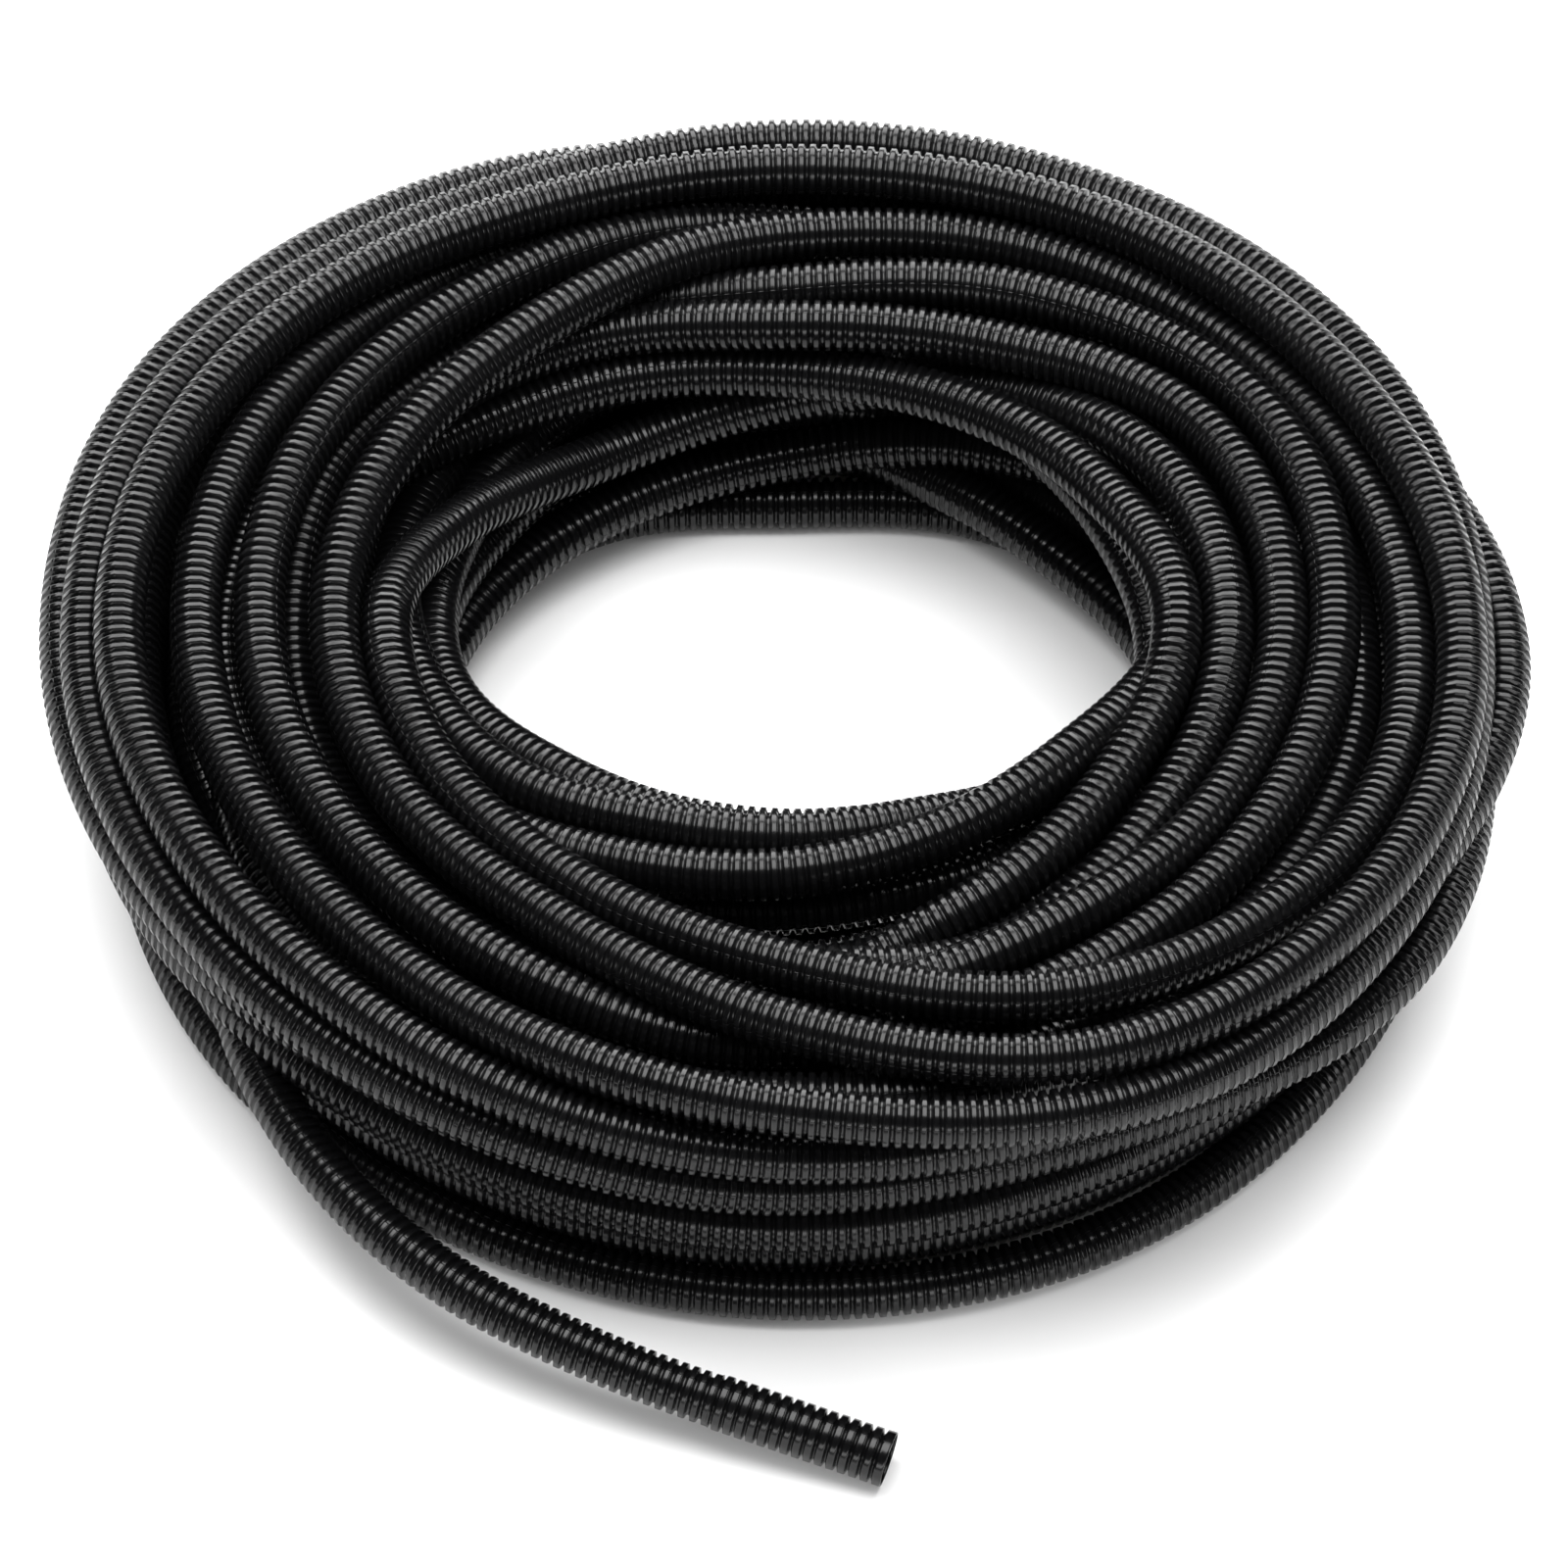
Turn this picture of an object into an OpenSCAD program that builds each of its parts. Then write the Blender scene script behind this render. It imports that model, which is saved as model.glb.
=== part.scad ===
// Corrugated conduit: one length of flexible ribbed plastic tube, wound by hand into a loose
// coil that lies flat on the floor, with its cut end leading out of the pile to the front.
// Millimetres, +Z up. The origin is the middle of the whole thing's footprint, on the floor.

/* [Tube] */
// Diameter over the ribs
tube_od = 15.8; // [13:0.1:18.5]
// Depth of the grooves between the ribs
groove_depth = 1.45; // [0.8:0.05:2]
// Thickness of the plastic
wall = 0.4; // [0.3:0.05:0.6]
// Distance from one rib to the next
rib_pitch = 3.5; // [3:0.1:4.5]
// Width of a rib's flat top
rib_top = 1.6; // [1.2:0.05:1.8]
// Width of a groove's flat root
groove_root = 0.8; // [0.6:0.05:1]

/* [Coil] */
// Outside diameter of the coil
coil_d = 442; // [420:1:620]
// Layers of turns, one on another
layers = 7; // [5:1:8]
// Turns side by side in the layer on the floor
base_turns = 5; // [4:1:6]
// Layers that stay full before the pile narrows towards its top
full_layers = 6; // [3:1:7]
// Gap between two turns side by side in a layer
turn_gap = 3.9; // [2.5:0.1:5]
// Rise from one layer to the next, less than a diameter because the turns sink between those below
layer_rise = 13.7; // [11:0.1:15]

/* [Free end] */
// Ribs on the straight stretch that ends at the cut
end_ribs = 16; // [10:1:24]
// Place of the cut to the right of the coil's axis
end_x = 29; // [0:1:50]
// Distance from the coil's outside to the middle of the cut
end_reach = 26; // [20:1:40]
// Heading of the cut end, turned from +X towards the front
end_heading = 18; // [12:1:22]
// Radius of the gentle bend behind the straight stretch
lead_r = 360; // [300:5:500]
// Angle of that bend
lead_angle = 10; // [6:1:12]
// Radius of the bend that leads out of the pile
bend_r = 165; // [150:1:180]
// Angle of that bend
bend_angle = 46; // [42:1:54]
// Layer that the end comes out of, the one on the floor being 0
leave_layer = 2; // [2:1:3]

/* [Hidden] */

tube_r = tube_od / 2;
root_r = tube_r - groove_depth;         // outside of the plastic at a groove's root
bore_r = root_r - wall;                 // clear way for the cables
flank = (rib_pitch - rib_top - groove_root) / 2;

// The pile: each turn lies over the gap between two turns of the layer below.
turn_step = tube_od + turn_gap;
function turns_in(layer) =
    layer < full_layers ? base_turns + layer % 2 : turns_in(layer - 1) - 1;
widest = base_turns + 1;
mid_r = coil_d / 2 - tube_r - (widest - 1) / 2 * turn_step;
function turn_r(layer, k) = mid_r + (k - (turns_in(layer) - 1) / 2) * turn_step;
function layer_z(layer) = tube_r + layer * layer_rise;

// The free end slopes evenly down from the layer that it leaves until its cut rests on the floor.
end_len = end_ribs * rib_pitch;
lead_run = lead_r * sin(lead_angle);
bend_run = bend_r * (sin(lead_angle + bend_angle) - sin(lead_angle));
slope = asin((layer_z(leave_layer) - tube_r) / (end_len + lead_run + bend_run));
cut_y = -coil_d / 2 - end_reach;
cut_z = tube_r * cos(slope);
front = cut_y - tube_r * sqrt(1 - pow(sin(end_heading) * cos(slope), 2));
coil_y = -(coil_d / 2 + front) / 2;     // puts the footprint's middle on the origin

$fn = 64;

// Section of the pile on one side of the eye: every turn, and the middle that they hide.
module pile_section() {
    for (layer = [0 : layers - 1])
        for (k = [0 : turns_in(layer) - 1])
            translate([turn_r(layer, k), layer_z(layer)]) circle(r = tube_r);
    polygon(concat(
        [for (layer = [0 : layers - 1]) [turn_r(layer, turns_in(layer) - 1), layer_z(layer)]],
        [for (layer = [layers - 1 : -1 : 0]) [turn_r(layer, 0), layer_z(layer)]]
    ));
}

module wound_turns() {
    rotate_extrude($fn = 180) pile_section();
}

// One side of the ribbed wall as [radius, distance from the cut], with its ribs' tops at top_r, its
// roots at low_r, and each rib wider by grow at either edge. The cut runs through the middle of a
// rib, and the line goes past both ends of the stretch by past.
function rib_line(low_r, top_r, grow, past) = concat(
    [[top_r, -past]],
    [for (i = [0 : end_ribs - 1], p = [
        [top_r, i * rib_pitch + rib_top / 2 + grow],
        [low_r, i * rib_pitch + rib_top / 2 + flank + grow],
        [low_r, (i + 1) * rib_pitch - rib_top / 2 - flank - grow],
        [top_r, (i + 1) * rib_pitch - rib_top / 2 - grow]
    ]) p],
    [[top_r, end_len + past]]
);

// Ribbed stretch, from the cut at x = 0 back along -X.
module ribbed(low_r, top_r, grow = 0, past = 0) {
    rotate([0, -90, 0]) rotate_extrude()
        polygon(concat([[0, -past]], rib_line(low_r, top_r, grow, past), [[0, end_len + past]]));
}

// Plain stretch of radius stock_r that bends to the left and stops at x = 0, heading along +X. It
// runs on by lap at both ends, and its children are put where it starts.
module bend(r, angle, stock_r, lap) {
    lap_angle = lap / r * 180 / PI;
    translate([0, r, 0]) rotate([0, 0, -angle]) {
        rotate([0, 0, -90 - lap_angle]) rotate_extrude(angle = angle + 2 * lap_angle, $fn = 180)
            translate([r, 0]) circle(r = stock_r);
        translate([0, -r, 0]) children();
    }
}

// The middle stretch is a touch thinner than its neighbours and its ends sit inside them.
module free_end() {
    difference() {
        ribbed(root_r, tube_r);
        ribbed(bore_r, tube_r - wall, grow = -wall / 2, past = 1);
    }
    translate([-end_len, 0, 0]) bend(lead_r, lead_angle, tube_r - wall / 4, rib_top / 4)
        bend(bend_r, bend_angle, tube_r, 0);
}

module conduit() {
    color([0.05, 0.05, 0.055]) translate([0, coil_y, 0]) {
        wound_turns();
        translate([end_x, cut_y, cut_z]) rotate([0, slope, -end_heading]) free_end();
    }
}

conduit();
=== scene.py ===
import math

import bpy
import numpy as np
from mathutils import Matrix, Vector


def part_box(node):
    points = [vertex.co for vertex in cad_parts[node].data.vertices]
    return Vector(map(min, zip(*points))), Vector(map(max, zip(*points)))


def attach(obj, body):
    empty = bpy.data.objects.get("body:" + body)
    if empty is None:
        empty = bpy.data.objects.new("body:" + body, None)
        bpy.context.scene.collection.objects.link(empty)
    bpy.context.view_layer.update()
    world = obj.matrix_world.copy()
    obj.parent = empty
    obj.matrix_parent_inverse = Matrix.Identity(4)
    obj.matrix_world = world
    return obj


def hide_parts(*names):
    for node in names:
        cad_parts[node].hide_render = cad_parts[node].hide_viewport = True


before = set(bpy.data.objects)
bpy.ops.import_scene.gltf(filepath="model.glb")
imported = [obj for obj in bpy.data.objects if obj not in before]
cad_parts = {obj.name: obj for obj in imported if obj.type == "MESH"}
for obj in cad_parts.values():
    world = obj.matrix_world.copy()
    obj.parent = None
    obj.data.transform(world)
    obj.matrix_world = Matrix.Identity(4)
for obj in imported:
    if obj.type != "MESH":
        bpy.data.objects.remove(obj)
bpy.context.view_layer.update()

# Camera: stands in front of the coil and looks down on it at 50 degrees through a long lens, so that
# the eye and the outside of the front turns both show.
low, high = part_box("conduit")
tube_od = 0.0158
coil_r = high[0]
coil_y = high[1] - coil_r
elevation = math.radians(50)
field_of_view = math.radians(8.22)
camera_distance = 210 * tube_od
aside, upwards = -0.038 * tube_od, 0.377 * tube_od
target = np.array([aside, coil_y + upwards * math.sin(elevation), upwards * math.cos(elevation)])
camera_place = target + camera_distance * np.array([0, -math.cos(elevation), math.sin(elevation)])
bpy.ops.object.camera_add(location=camera_place, rotation=(math.pi / 2 - elevation, 0, 0))
camera = bpy.context.object
camera.data.sensor_fit = "HORIZONTAL"
camera.data.angle = field_of_view
camera.data.clip_end = 20
bpy.context.scene.camera = camera

# Winding: about 37 m of tube laid round by hand, turn after turn, from the floor up. It is worked
# out here in tube diameters as radius and height round the coil's axis, anticlockwise from the right.
steps = 96
step_angle = 2 * math.pi / steps
resting = 0.5


def through(values, n):
    """Values with n steps between each two, on a smooth curve through all of them."""
    v = np.asarray(values, dtype=float)
    v = np.concatenate([[2 * v[0] - v[1]], v, [2 * v[-1] - v[-2]]])
    a, b, c, d = (v[i:len(v) - 3 + i, None] for i in range(4))
    t = np.arange(n) / n
    return (b + t * ((c - a) + t * ((2 * a - 5 * b + 4 * c - d) + t * (3 * b - a - 3 * c + d))) / 2)


# The first turn, on the floor round the eye.
rng = np.random.default_rng(7)
twelfths = np.radians(np.arange(0, 360, 30))
radii = [8.8, 8.9, 8.2, 7.4, 7.9, 8.15, 7.8, 7.0, 6.4, 6.3, 6.8, 7.9]
heights = [resting] * 12

# The turns that lie under the others: rows from the floor up, one laid from the eye's side to the
# outside and the next one back. A row's two edges are given at every sixth of the way round, and
# each turn wanders a little by itself.
wander = 0.1
for row, (abreast, height, inner, outer) in enumerate([
    (5, resting, (9.6, 9.3, 8.9, 8.5, 7.5, 7.8), (11.7, 12.2, 12.3, 12.3, 12.15, 12.3)),
    (5, 1.4, (8.5, 8.6, 8.6, 7.9, 6.2, 6.5), (12.2, 12.2, 12.3, 12.4, 11.7, 11.7)),
    (5, 2.25, (8.0, 8.8, 8.9, 7.4, 5.2, 4.85), (12.4, 12.3, 12.5, 12.8, 12.0, 11.8)),
    (5, 3.1, (8.8, 9.2, 9.3, 8.2, 6.4, 6.65), (12.2, 12.1, 12.3, 12.3, 11.2, 11.3)),
]):
    for k in (range(abreast) if row % 2 == 0 else reversed(range(abreast))):
        share = k / (abreast - 1)
        wave = sum(rng.uniform(-wander, wander) * np.cos(n * twelfths - rng.uniform(0, 6.3))
                   for n in (2, 3))
        sixths = [(1 - share) * i + share * o for i, o in zip(inner, outer)]
        around = np.interp(np.arange(12) / 2, range(7), sixths + sixths[:1])
        radii += list(around + wave)
        heights += [height] * 12
hidden_turns = len(radii) // 12
edge_turns = [0, 5, 6, 15, 16]          # those of them whose side shows, at the eye or outside

# The turns that show, each as radius and height at every twelfth of its way round.
for turn in [
    [(8.5, 3.0), (8.9, 2.9), (8.3, 2.5), (7.6, 1.7), (7.25, 1.4), (7.15, 1.4),
     (7.0, 1.6), (6.7, 2.2), (6.0, 3.3), (5.75, 3.8), (5.85, 3.8), (6.6, 3.5)],
    [(7.6, 2.0), (8.4, 2.5), (8.9, 3.1), (9.2, 3.3), (9.0, 3.4), (7.8, 3.3),
     (6.6, 3.6), (5.15, 4.0), (4.4, 4.1), (4.2, 4.1), (4.4, 3.8), (5.8, 3.4)],
    [(7.3, 2.9), (8.0, 3.3), (8.9, 4.0), (9.4, 4.0), (9.6, 4.0), (8.5, 4.2),
     (7.2, 4.5), (6.3, 4.75), (5.25, 4.9), (4.95, 4.9), (5.05, 4.6), (6.0, 4.1)],
    [(7.35, 3.8), (7.8, 4.0), (8.8, 3.8), (9.5, 3.9), (9.8, 3.9), (9.3, 3.8),
     (8.3, 3.9), (7.45, 4.5), (6.35, 4.85), (5.85, 5.0), (5.65, 5.0), (6.1, 5.0)],
    [(7.2, 4.6), (8.0, 4.5), (9.1, 4.5), (9.5, 4.6), (9.9, 4.7), (10.3, 4.7),
     (10.55, 4.7), (10.4, 4.6), (9.9, 4.5), (8.2, 4.0), (7.75, 5.0), (7.3, 5.25)],
    [(7.4, 5.5), (7.05, 5.15), (7.25, 4.7), (7.5, 4.45), (8.4, 4.4), (9.3, 4.0),
     (10.4, 3.8), (11.0, 4.1), (11.2, 4.5), (11.0, 4.6), (11.2, 4.7), (11.15, 4.7)],
    [(10.95, 4.65), (10.9, 4.6), (10.0, 4.6), (10.1, 4.75), (9.9, 5.3), (9.9, 5.5),
     (9.9, 5.5), (9.8, 5.5), (9.95, 5.4), (10.2, 4.8), (10.25, 5.2), (10.4, 5.4)],
    [(10.45, 5.5), (10.45, 5.55), (9.3, 5.55), (8.35, 5.5), (9.3, 4.7), (9.7, 4.4),
     (9.3, 4.3), (9.15, 4.3), (9.3, 4.4), (9.1, 4.8), (8.85, 5.25), (9.15, 5.4)],
    [(9.35, 5.5), (9.2, 5.55), (8.0, 5.4), (7.6, 5.35), (8.9, 4.5), (8.9, 4.5),
     (8.25, 4.5), (8.0, 4.5), (8.1, 4.6), (8.15, 4.85), (8.25, 4.6), (8.35, 5.2)],
    [(8.4, 5.45), (8.35, 5.1), (8.0, 4.4), (7.45, 3.5), (7.35, 2.9), (7.3, 4.1),
     (7.65, 5.4), (7.6, 5.5), (7.75, 5.55), (8.8, 5.7), (10.95, 5.8), (11.95, 5.6)],
    [(11.75, 5.45), (11.25, 5.3), (10.45, 5.45), (9.4, 5.5), (8.55, 5.5), (8.5, 5.5),
     (8.5, 5.55), (8.45, 5.5), (8.75, 5.6), (10.4, 5.8), (12.7, 5.9), (13.1, 5.9)],
    [(12.6, 6.0), (11.75, 6.05), (11.15, 6.1), (10.85, 6.1), (11.0, 6.0), (11.95, 5.9),
     (12.5, 5.95), (12.45, 5.8), (12.2, 5.3), (12.0, 4.5), (12.1, 4.4), (12.4, 4.3)],
    [(13.45, 4.25), (12.7, 4.2), (12.5, 4.2), (12.5, 4.2), (13.4, 4.5), (13.95, 4.5),
     (13.6, 4.35), (12.8, 4.1), (11.9, 3.9), (11.1, 3.9), (11.0, 4.1), (11.3, 4.0)],
    [(11.4, 3.9), (11.6, 4.0), (11.6, 4.1), (11.7, 4.3), (12.0, 4.5), (12.6, 4.6),
     (12.4, 4.6), (12.2, 4.5), (11.4, 4.6), (11.0, 4.9), (11.6, 4.9), (12.1, 4.6)],
    [(12.15, 4.6), (12.15, 4.75), (11.55, 5.1), (10.85, 5.2), (10.8, 5.15), (11.05, 5.4),
     (11.05, 5.5), (10.95, 5.5), (11.2, 5.5), (11.8, 5.55), (13.05, 5.6), (13.0, 5.3)],
    [(12.65, 5.1), (12.65, 5.15), (12.45, 5.2), (12.35, 5.15), (12.25, 5.1), (12.95, 5.2),
     (13.1, 5.15), (12.75, 5.0), (12.2, 4.4), (11.6, 3.4), (11.9, 3.5), (13.0, 3.3)],
]:
    radii += [radius for radius, height in turn]
    heights += [height for radius, height in turn]

# The last turn sinks to the free end, which leaves the pile and slopes down until its cut rests on
# the floor: two bends and a straight stretch, as the solid has them.
radii += [12.4, 12.3, 12.1, 11.8, 11.5, 11.1, 10.95]
heights += [3.0, 2.9, 2.8, 2.7, 2.5, 2.4, 2.3]
end_straight, lead_r, lead_angle, bend_r, bend_angle = 0.056, 0.36, 10, 0.165, 46
end_slope, end_heading = math.radians(6.943), math.radians(18)
cut = np.array([0.0297, low[1] + 0.0008, tube_od / 2 * math.cos(end_slope) + 0.0004])
tail = [(0.0, 0.0, 0.0)]
tail_steps = 14
heading = 0.0
for length, turn_by in ((end_straight, 0), (lead_r * math.radians(lead_angle), lead_angle),
                        (bend_r * math.radians(bend_angle), bend_angle)):
    reach = length / tail_steps
    for _ in range(tail_steps):
        x, y, _level = tail[-1]
        heading -= math.radians(turn_by) / (2 * tail_steps)
        tail.append((x - reach * math.cos(heading), y - reach * math.sin(heading), 0.0))
        heading -= math.radians(turn_by) / (2 * tail_steps)
pitch_down = np.array([[math.cos(end_slope), 0, math.sin(end_slope)], [0, 1, 0],
                       [-math.sin(end_slope), 0, math.cos(end_slope)]])
turn_out = np.array([[math.cos(end_heading), math.sin(end_heading), 0],
                     [-math.sin(end_heading), math.cos(end_heading), 0], [0, 0, 1]])
tail = np.array(tail) @ (turn_out @ pitch_down).T + cut
tail = tail[::-1]
tail_polar = np.degrees(np.arctan2(tail[:, 1] - coil_y, tail[:, 0])) % 360
tail_radius = np.hypot(tail[:, 0], tail[:, 1] - coil_y) / tube_od

# From the left of the coil the last turn swings out smoothly to where the free end's bends begin.
radius = through(radii, steps // 12).ravel()
height = through(heights, steps // 12).ravel()
left_side = (len(radius) - 1) // steps * steps + steps // 2 + 1
steps_to_cut = 25
last_steps = np.degrees(np.arange(steps // 2 + 1, steps // 2 + 1 + steps_to_cut) * step_angle)
on_tail = last_steps > tail_polar[0] - 1
swing_angle = tail_polar[0] - 180
t = (last_steps[~on_tail] - 180) / swing_angle


def led_out(line, tail_line):
    """The line up to the left side, the swing on from there, and the free end's own line."""
    line = line[:left_side]
    slope = (tail_line[1] - tail_line[0]) / (tail_polar[1] - tail_polar[0]) * swing_angle
    swing = line[-1] + (tail_line[0] - line[-1]) * (3 * t ** 2 - 2 * t ** 3) + slope * (t ** 3 - t ** 2)
    rest = np.interp(last_steps[on_tail], tail_polar, tail_line)
    return np.concatenate([line, swing, rest])


radius = led_out(radius, tail_radius)
height = led_out(height, tail[:, 2] / tube_od)

# The turns settle: where two lie closer than they can, both give way by how easily each one moves.
# The turns inside give way most, those that show hardly, and the free end not at all. Each shift is
# smoothed along the tube, and fades again where nothing pushes. Steps past the cut lie far off.
count = len(radius)
far_off = np.full((-count) % steps, 99.0)
laid_r = np.concatenate([radius, far_off]).reshape(-1, steps)
laid_z = np.concatenate([height, far_off]).reshape(-1, steps)
turns = len(laid_r)
closest, push, fade_r, fade_z = 0.985, 0.6, 0.995, 0.99
stiff, easy = 0.05, 1.0
ease = np.full((turns, steps), stiff)
ease[:hidden_turns] = easy
ease[edge_turns] = stiff
ease[-1, steps // 2:] = 0.0
loose = np.ones(turns * steps)
held_from, held_fast = left_side - 40, left_side + 4
loose[held_from:] = 0.0
loose[held_from:held_fast] = np.linspace(1, 0, held_fast - held_from)
loose = loose.reshape(turns, steps)
shift_r = np.zeros_like(laid_r)
shift_z = np.zeros_like(laid_z)
for attempt in range(160):
    now_r = laid_r + shift_r
    now_z = laid_z + shift_z
    apart_r = now_r[:, None] - now_r[None]
    apart_z = now_z[:, None] - now_z[None]
    apart = np.hypot(apart_r, apart_z) + 1e-9
    overlap = np.clip(closest - apart, 0, None) * (1 - np.eye(turns))[:, :, None]
    share = ease[:, None] / (ease[:, None] + ease[None] + 1e-9)
    shift_r += push * (overlap * share * apart_r / apart).sum(1)
    shift_z += push * (overlap * share * apart_z / apart).sum(1)
    for shift in (shift_r, shift_z):
        line = shift.ravel()[:count]
        for _ in range(2):
            line[1:-1] = (line[:-2] + 2 * line[1:-1] + line[2:]) / 4
        shift.ravel()[:count] = line
    shift_r *= fade_r * loose
    shift_z *= fade_z * loose
    shift_z = np.maximum(shift_z, resting - laid_z)
radius = (laid_r + shift_r).ravel()[:count]
height = (laid_z + shift_z).ravel()[:count]
angle = np.arange(count) * step_angle
winding = np.column_stack([tube_od * radius * np.cos(angle),
                           coil_y + tube_od * radius * np.sin(angle), tube_od * height])
winding = np.vstack([winding[:count - on_tail.sum()], tail])

# A point every few millimetres, and the way along to each, counted back from the cut.
finer = 5
route = np.column_stack([through(winding[:, i], finer).ravel() for i in range(3)])
route = np.vstack([route, winding[-1:]])[::-1]
along = np.concatenate([[0], np.cumsum(np.linalg.norm(np.diff(route, axis=0), axis=1))])
turn_start = along[::-1][::steps * finer]


# Ribbed wall: a thin tube of soft hot plastic, drawn out into moulds that travel with it as it sets.
# They leave a row of ribs, each with a flat top, between narrow grooves.
rib_pitch = 0.0035
rib_top = 0.0016
groove_depth = 0.00145
groove_root = 0.0008
flank = (rib_pitch - rib_top - groove_root) / 2
wall = 0.0004
root_share = 1 - groove_depth * 2 / tube_od


def ribbed_tube(name, start, ribs, sides, rings, first=0.0, hollow=False):
    """One rib modelled, repeated and laid along the route from start on. A hollow tube is open at
    the start, where its first top is longer by first."""
    bpy.ops.object.select_all(action="DESELECT")
    bpy.ops.mesh.primitive_circle_add(vertices=sides, radius=tube_od / 2, rotation=(0, math.pi / 2, 0))
    tube = bpy.context.object
    tube.name = name
    bpy.ops.object.transform_apply(location=False, rotation=True, scale=False)
    bpy.ops.object.mode_set(mode="EDIT")
    bpy.ops.mesh.select_all(action="SELECT")
    last_x, last_size = 0.0, 1.0
    for x, size in rings:
        bpy.ops.mesh.extrude_edges_move(TRANSFORM_OT_translate={"value": (x - last_x, 0, 0)})
        if size != last_size:
            factor = size / last_size
            bpy.ops.transform.resize(value=(1, factor, factor), center_override=(x, 0, 0))
        last_x, last_size = x, size
    bpy.ops.object.mode_set(mode="OBJECT")

    # The wall's own map: ribs along the tube, counted from the cut, and the way round it.
    mesh = tube.data
    wall_map = mesh.uv_layers.new(name="wall")
    for face in mesh.polygons:
        corners = [mesh.vertices[mesh.loops[i].vertex_index].co for i in face.loop_indices]
        round_it = [math.atan2(p.z, p.y) / (2 * math.pi) % 1 for p in corners]
        if max(round_it) - min(round_it) > 0.5:
            round_it = [share + 1 if share < 0.5 else share for share in round_it]
        for i, p, share in zip(face.loop_indices, corners, round_it):
            wall_map.data[i].uv = ((start + p.x) / rib_pitch, share)

    # The edges of a rib's flat top stay crisp.
    for edge in mesh.edges:
        a, b = (mesh.vertices[i].co for i in edge.vertices)
        at_top = all(math.hypot(p.y, p.z) > tube_od * 0.49 for p in (a, b))
        edge.use_edge_sharp = at_top and abs(a.x - b.x) < 1e-6
    bpy.ops.object.shade_smooth()
    repeat = tube.modifiers.new("ribs", "ARRAY")
    repeat.use_relative_offset = False
    repeat.use_constant_offset = True
    repeat.constant_offset_displace = (rib_pitch, 0, 0)
    repeat.count = ribs
    repeat.use_merge_vertices = True
    repeat.merge_threshold = 0.00002
    repeat.offset_u = 1.0
    bpy.ops.object.modifier_apply(modifier="ribs")

    # A hollow stretch gets its wall's thickness, and a plain one its ends.
    if hollow:
        for vertex in mesh.vertices:
            if vertex.co.x < 1e-6:
                vertex.co.x -= first
        thick = tube.modifiers.new("wall", "SOLIDIFY")
        thick.thickness = wall
        thick.offset = -1
        bpy.ops.object.mode_set(mode="EDIT")
        bpy.ops.mesh.select_all(action="SELECT")
        bpy.ops.mesh.normals_make_consistent(inside=False)
        bpy.ops.object.mode_set(mode="OBJECT")
        bpy.ops.object.modifier_apply(modifier="wall")
    else:
        bpy.ops.object.mode_set(mode="EDIT")
        bpy.ops.mesh.select_all(action="DESELECT")
        bpy.ops.mesh.select_mode(type="EDGE")
        bpy.ops.mesh.select_non_manifold()
        bpy.ops.mesh.edge_face_add()
        bpy.ops.mesh.select_all(action="SELECT")
        bpy.ops.mesh.normals_make_consistent(inside=False)
        bpy.ops.object.mode_set(mode="OBJECT")

    # The route's points that it lies on, as a curve that bends it.
    end = start + ribs * rib_pitch
    clear = 0.0005
    between = (along > start + clear) & (along < end - clear)
    ends = [[np.interp(s, along, route[:, i]) for i in range(3)] for s in (start, end)]
    points = np.vstack([ends[:1], route[between], ends[1:]])
    line = bpy.data.curves.new(name + "_route", "CURVE")
    line.dimensions = "3D"
    line.twist_mode = "Z_UP"
    spline = line.splines.new("POLY")
    spline.points.add(len(points) - 1)
    spline.points.foreach_set("co", np.column_stack([points, np.ones(len(points))]).ravel())
    guide = bpy.data.objects.new(name + "_route", line)
    bpy.context.collection.objects.link(guide)
    bend = tube.modifiers.new("route", "CURVE")
    bend.object = guide
    bpy.ops.object.modifier_apply(modifier="route")
    bpy.data.objects.remove(guide)
    return tube, points


# Black plastic: glossy and plain, with rounded rib edges, the two lines that the halves of the
# mould leave along the tube, and the faint unevenness of a thin blown wall.
class Wire:
    """A socket that works in expressions, adding its Math nodes as it goes."""

    def __init__(self, tree, socket=None):
        self.tree = tree
        self.socket = socket

    def node(self, kind, settings, values, output=0):
        made = self.tree.nodes.new(kind)
        for name, value in settings.items():
            setattr(made, name, value)
        for place, value in values.items():
            if isinstance(value, Wire):
                self.tree.links.new(value.socket, made.inputs[place])
            else:
                made.inputs[place].default_value = value
        return Wire(self.tree, made.outputs[output])

    def math(self, operation, *values):
        return self.node("ShaderNodeMath", {"operation": operation}, dict(enumerate((self, *values))))

    def __add__(self, other):
        return self.math("ADD", other)

    __radd__ = __add__

    def __mul__(self, other):
        return self.math("MULTIPLY", other)

    __rmul__ = __mul__

    def __sub__(self, other):
        return self.math("SUBTRACT", other)

    def __rsub__(self, other):
        return self * -1 + other

    def __gt__(self, other):
        return self.math("GREATER_THAN", other)

    def __abs__(self):
        return self.math("ABSOLUTE")

    def part(self):
        return self.math("FRACT")

    def near(self, place, width):
        """1 at place, falling to 0 at width from it."""
        return (1 - abs(self - place) * (1 / width)).math("MAXIMUM", 0.0)


plastic = bpy.data.materials.new("black plastic")
plastic.use_nodes = True
shader = plastic.node_tree.nodes["Principled BSDF"]
shader.inputs["Specular IOR Level"].default_value = 0.35
surface = Wire(plastic.node_tree)
wall_map = surface.node("ShaderNodeUVMap", {"uv_map": "wall"}, {})
along_ribs = surface.node("ShaderNodeSeparateXYZ", {}, {0: wall_map})
round_wall = Wire(plastic.node_tree, along_ribs.socket.node.outputs[1])
object_coordinates = 3
place = surface.node("ShaderNodeTexCoord", {}, {}, object_coordinates)

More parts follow.
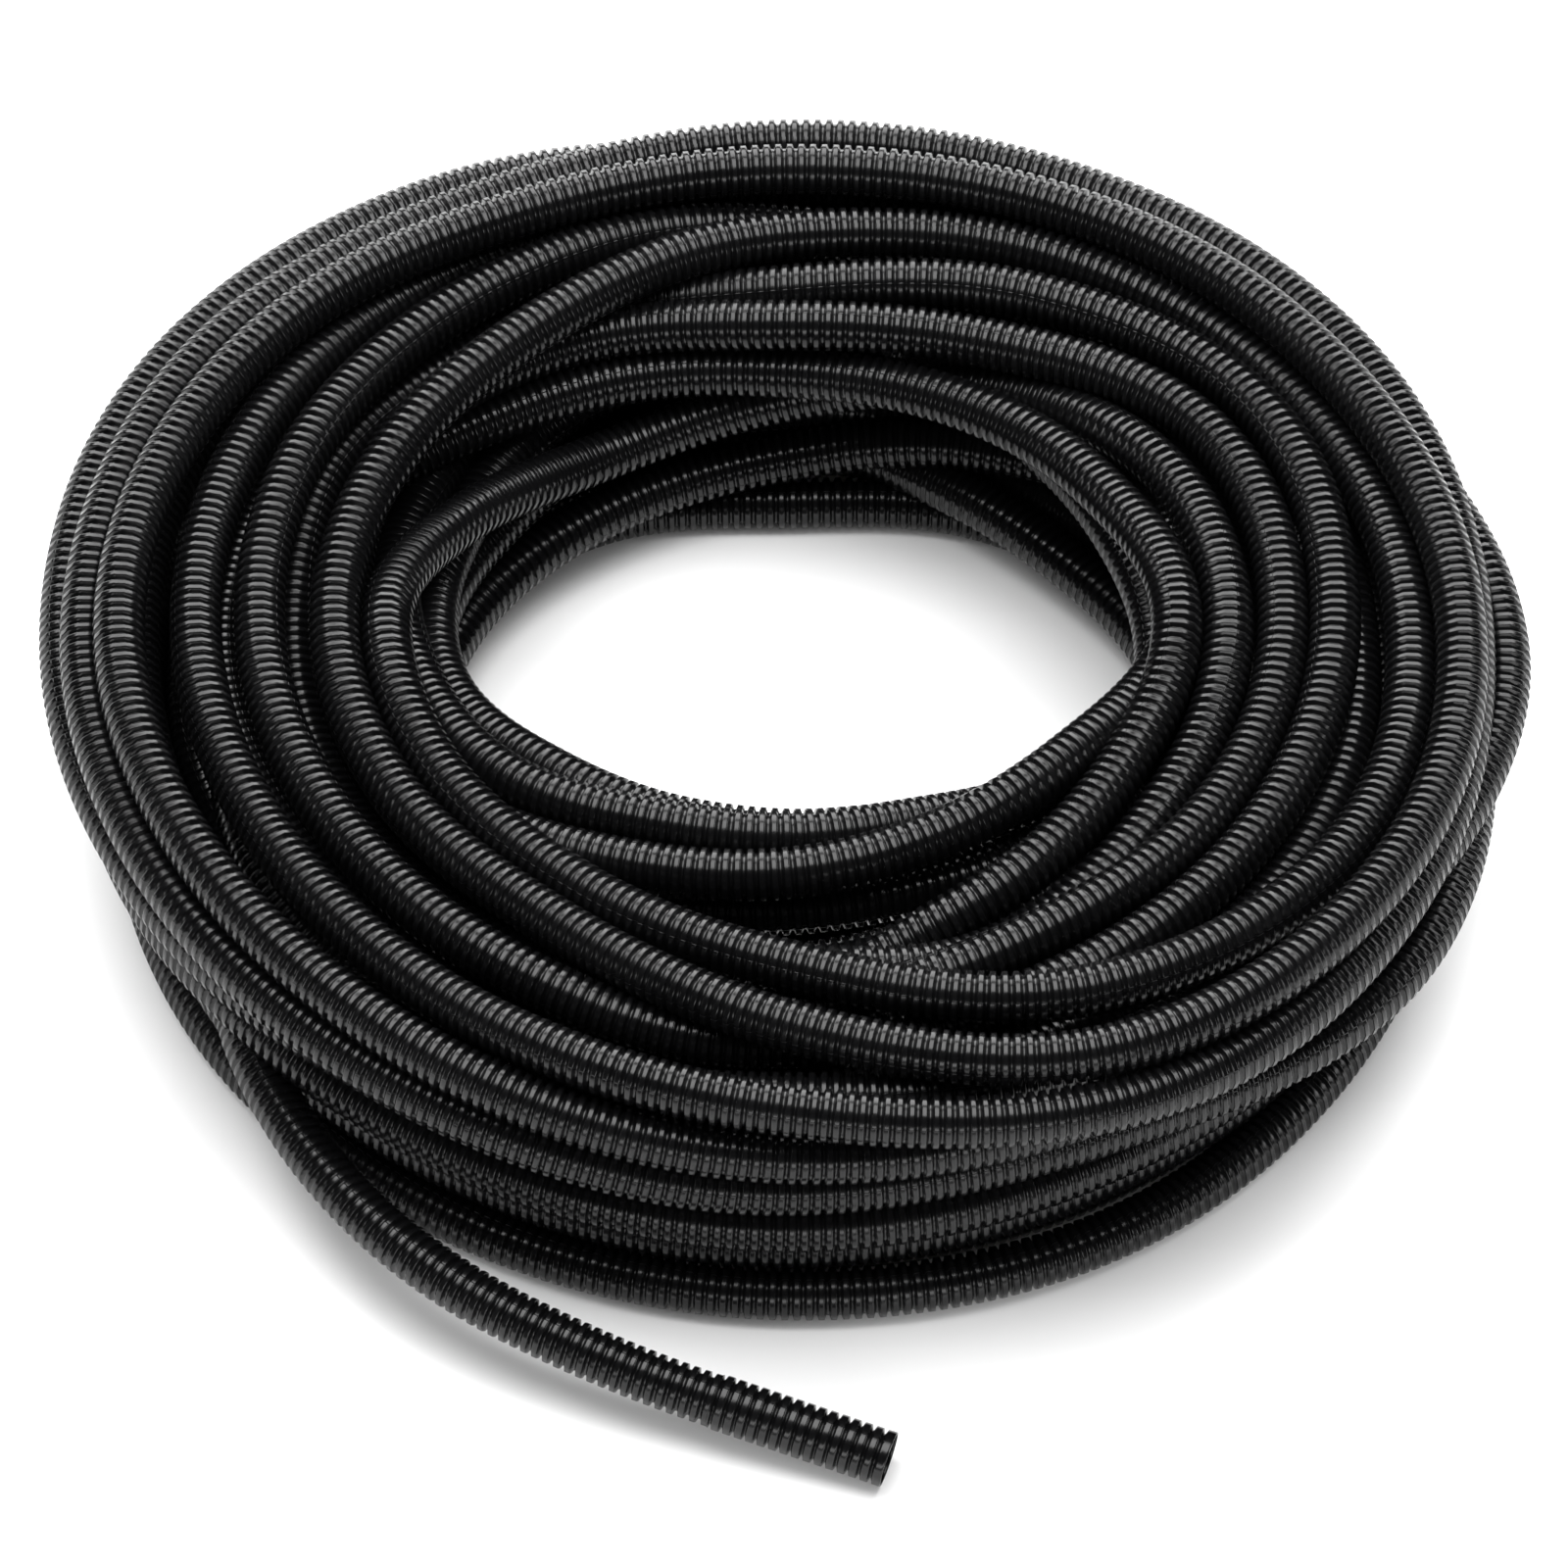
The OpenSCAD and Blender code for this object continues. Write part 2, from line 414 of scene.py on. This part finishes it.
# The mould's lines wander slowly round the tube as it twists, and its halves are a hair apart. These
# lengths are in millimetres, and the pattern starts half a rib's top past the cut.
half_girth, pitch, half_top = 24.8, 3.5, 0.8
line_width, halves_off, edge_width = 0.16, 0.16, 0.34
twist = (along_ribs * 0.0037).math("SINE") * 0.19 + (along_ribs * 0.0011).math("SINE") * 0.33
half = (round_wall * 2 + twist).part()
from_line = abs(half - 0.5) * half_girth
seam = (1 - from_line * (1 / line_width)).math("MAXIMUM", 0.0)
step = (half > 0.5) * halves_off
past_top = (along_ribs + 1000).part() * pitch + step - (half_top + halves_off / 2)
from_crest = abs(past_top.math("WRAP", pitch, 0.0) - half_top)
on_crest = from_crest.math("LESS_THAN", half_top)
edge = from_crest.near(half_top, edge_width)

# A fine grain, the waves of a thin wall and slow clouds of more and less gloss, over the relief of
# rounded edges and raised lines, again in millimetres.
grain = surface.node("ShaderNodeTexNoise", {}, {"Vector": place, "Scale": 900.0, "Detail": 3.0})
waviness = surface.node("ShaderNodeTexNoise", {}, {"Vector": place, "Scale": 160.0, "Detail": 2.0})
cloud = surface.node("ShaderNodeTexNoise", {}, {"Vector": place, "Scale": 22.0, "Detail": 3.0})
relief = grain * 0.012 + waviness * 0.09 - edge * edge * 0.16 + seam * on_crest * 0.07
bump = surface.node("ShaderNodeBump", {}, {"Height": relief, "Distance": 0.001, "Strength": 1.0})
plastic.node_tree.links.new(bump.socket, shader.inputs["Normal"])
rough = 0.12 + cloud * 0.14 + grain * 0.05 + seam * 0.15
plastic.node_tree.links.new(rough.socket, shader.inputs["Roughness"])
black = surface.node("ShaderNodeValToRGB", {}, {0: cloud * 0.7 + grain * 0.3})
black.socket.node.color_ramp.elements[0].color = (0.0015, 0.0015, 0.0017, 1)
black.socket.node.color_ramp.elements[1].color = (0.0045, 0.0045, 0.0048, 1)
plastic.node_tree.links.new(black.socket, shader.inputs["Base Color"])

# Tube: one length of it from the cut back to the first turn, in pieces of a few turns. Turns that
# show have the fine wall and the ones inside the pile a coarser one, and the first piece carries
# the hollow end with its cut through a rib's top.
fine_rings = [(rib_top, 1), (rib_top + flank, root_share), (rib_top + flank + groove_root, root_share),
              (rib_pitch, 1)]
coarse_rings = [(rib_top, 1), (rib_top + rib_pitch / 4, root_share), (rib_pitch, 1)]
fine = (14, fine_rings, 1650)
coarse = (8, coarse_rings, 4000)
end_ribs, end_sides = 15, 32
start = rib_top / 2
number = 0
for back_to, (sides, rings, most_ribs) in (
    (20, fine), (17, coarse), (15, fine), (12, coarse), (10, fine),
    (7, coarse), (5, fine), (1, coarse), (0, fine),
):
    while turn_start[back_to] - start > 3 * rib_pitch:
        number += 1
        ribs = min(most_ribs, int((turn_start[back_to] - start) / rib_pitch))
        if number == 1:
            end, end_points = ribbed_tube("free_end", start, end_ribs, end_sides, fine_rings,
                                          rib_top / 2, hollow=True)
            start += end_ribs * rib_pitch
        tube, points = ribbed_tube("winding_%d" % number, start, ribs, sides, rings)
        length = ribs * rib_pitch
        if number == 1:
            end.select_set(True)
            bpy.ops.object.join()
            points = np.vstack([end_points[:-1], points])
            length += end_ribs * rib_pitch
        tube.data.materials.clear()
        tube.data.materials.append(plastic)
        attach(tube, "root")
        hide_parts("conduit")
        start += ribs * rib_pitch

# Floor: a plain sheet of matt white paper, wide enough to fill the picture and to light the sides
# of the coil from below.
bpy.ops.object.select_all(action="DESELECT")
bpy.ops.mesh.primitive_plane_add(size=8, location=(0, 0, 0))
floor = bpy.context.object
floor.name = "floor"
paper = bpy.data.materials.new("white paper")
paper.use_nodes = True
paper.node_tree.nodes["Principled BSDF"].inputs["Base Color"].default_value = (0.85, 0.85, 0.85, 1)
paper.node_tree.nodes["Principled BSDF"].inputs["Roughness"].default_value = 1.0
paper.node_tree.nodes["Principled BSDF"].inputs["Specular IOR Level"].default_value = 0.0
floor.data.materials.append(paper)

# Light: wide soft boxes high behind the coil and overhead, a low one in front, and a white room that
# fills the shadows and isn't seen in the gloss.
for name, spot, width, depth, watts in (
    ("back box", (0.0, 1.7, 1.35), 3.2, 1.4, 100),
    ("top box", (0.0, 0.1, 1.9), 2.0, 1.3, 55),
    ("front box", (0.0, -2.9, 0.9), 3.2, 0.7, 32),
):
    bpy.ops.object.light_add(type="AREA", location=spot)
    box = bpy.context.object
    box.name = name
    box.data.shape = "RECTANGLE"
    box.data.size = width
    box.data.size_y = depth
    box.data.energy = watts
    box.rotation_euler = (-math.atan2(spot[1], spot[2]), 0, 0)
world = bpy.data.worlds.new("studio")
bpy.context.scene.world = world
world.use_nodes = True
world.node_tree.nodes["Background"].inputs["Color"].default_value = (1, 1, 1, 1)
world.node_tree.nodes["Background"].inputs["Strength"].default_value = 0.7
world.cycles_visibility.glossy = False
bpy.context.scene.view_settings.view_transform = "Standard"
